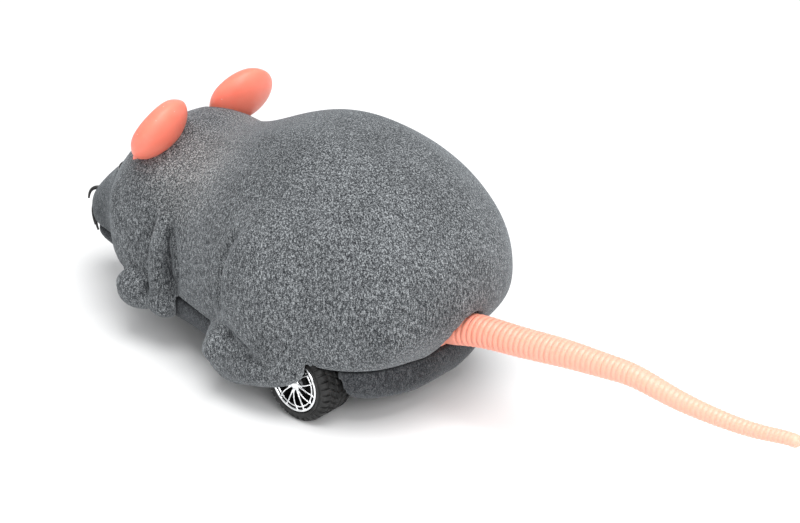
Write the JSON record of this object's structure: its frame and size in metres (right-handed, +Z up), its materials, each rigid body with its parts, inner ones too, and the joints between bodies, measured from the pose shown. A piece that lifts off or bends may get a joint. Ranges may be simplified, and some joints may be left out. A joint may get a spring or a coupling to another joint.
{
  "type": "clockwork mouse",
  "caption": "Flocked clockwork toy mouse: egg-shaped casing, pink ears, ribbed tail, car-type rear wheels, front caster and a spring motor wound by a side key.",
  "frame": {"origin": "on the floor, under the middle of the whole toy with its tail, in the mouse's mid-plane", "axes": "+X towards the nose, +Y to the mouse's left, +Z up; millimetres in the source, metres here"},
  "size_m": [0.2226, 0.073, 0.0669],
  "materials": {
    "flock_grey": "short grey flock over moulded plastic, speckled",
    "flock_dark": "darker grey flock over moulded plastic",
    "ear_vinyl": "smooth salmon-pink soft vinyl, satin",
    "tail_vinyl": "peach soft vinyl, ribbed, satin",
    "black_gloss": "polished black",
    "whisker_rubber": "matt black flexible strands",
    "tyre_rubber": "matt black with a block tread",
    "wheel_black": "black moulded wheel body",
    "rim_chrome": "bright plated, paired spokes",
    "plate_steel": "stamped sheet, brushed",
    "gear_brass": "cut brass, satin",
    "shaft_steel": "ground steel",
    "spring_steel": "blued spring strip",
    "screw_steel": "plated screws",
    "key_steel": "nickel-plated key",
    "caster_plastic": "black acetal"
  },
  "bodies": {
    "casing": {"upper_shell": "flock_grey", "lower_shell": "flock_dark", "shell_screws": "screw_steel", "left_ear": "ear_vinyl", "right_ear": "ear_vinyl", "left_eye": "black_gloss", "right_eye": "black_gloss", "nose": "black_gloss", "left_whiskers": "whisker_rubber", "right_whiskers": "whisker_rubber", "tail": "tail_vinyl", "motor_plate_left": "plate_steel", "motor_plate_right": "plate_steel", "motor_pillars": "gear_brass", "motor_screws": "screw_steel", "mount_screws": "screw_steel", "click_pin": "shaft_steel", "click_spring": "spring_steel", "key_bush": "black_gloss", "axle_bushes": "gear_brass"},
    "rear_axle_set": {"rear_axle": "shaft_steel", "axle_pinion": "gear_brass", "left_wheel_core": "wheel_black", "right_wheel_core": "wheel_black", "left_tyre": "tyre_rubber", "right_tyre": "tyre_rubber", "left_rim": "rim_chrome", "right_rim": "rim_chrome"},
    "third_set": {"third_arbor": "shaft_steel", "third_wheel": "gear_brass", "third_pinion": "shaft_steel"},
    "second_set": {"second_arbor": "shaft_steel", "second_wheel": "gear_brass", "second_pinion": "shaft_steel"},
    "barrel_set": {"barrel": "gear_brass", "barrel_cover": "gear_brass", "mainspring": "spring_steel"},
    "arbor_set": {"winding_arbor": "shaft_steel", "ratchet_wheel": "shaft_steel", "winding_key": "key_steel"},
    "click_set": {"click": "shaft_steel"},
    "caster": {"caster_fork": "caster_plastic", "caster_axle": "shaft_steel", "caster_clip": "shaft_steel"},
    "caster_roller": {"caster_wheel": "caster_plastic"}
  },
  "joints": [
    {"name": "rear_axle_spin", "type": "hinge", "parent": "casing", "child": "rear_axle_set", "pos_m": [0.01265, 0, 0.01], "axis": [0, 1, 0], "continuous": true},
    {"name": "third_wheel_spin", "type": "hinge", "parent": "casing", "child": "third_set", "pos_m": [0.01998, 0, 0.01873], "axis": [0, 1, 0], "continuous": true},
    {"name": "second_wheel_spin", "type": "hinge", "parent": "casing", "child": "second_set", "pos_m": [0.03319, 0, 0.02445], "axis": [0, 1, 0], "continuous": true},
    {"name": "barrel_spin", "type": "hinge", "parent": "casing", "child": "barrel_set", "pos_m": [0.04858, 0, 0.02705], "axis": [0, 1, 0], "continuous": true},
    {"name": "key_turn", "type": "hinge", "parent": "casing", "child": "arbor_set", "pos_m": [0.04858, 0, 0.02705], "axis": [0, 1, 0], "range_deg": [-2160, 0], "deforming": ["mainspring"]},
    {"name": "click_lift", "type": "hinge", "parent": "casing", "child": "click_set", "pos_m": [0.05878, 0, 0.03355], "axis": [0, 1, 0], "range_deg": [-4, 0]},
    {"name": "caster_swivel", "type": "hinge", "parent": "casing", "child": "caster", "pos_m": [0.07935, 0, 0.01], "axis": [0, 0, 1], "continuous": true},
    {"name": "caster_roll", "type": "hinge", "parent": "caster", "child": "caster_roller", "pos_m": [0.07635, 0, 0.0045], "axis": [0, 1, 0], "continuous": true}
  ],
  "couplings": [
    {"joint": "third_wheel_spin", "follows": "rear_axle_spin", "ratio": -0.58333},
    {"joint": "second_wheel_spin", "follows": "rear_axle_spin", "ratio": 0.19444},
    {"joint": "barrel_spin", "follows": "rear_axle_spin", "ratio": -0.058333}
  ]
}
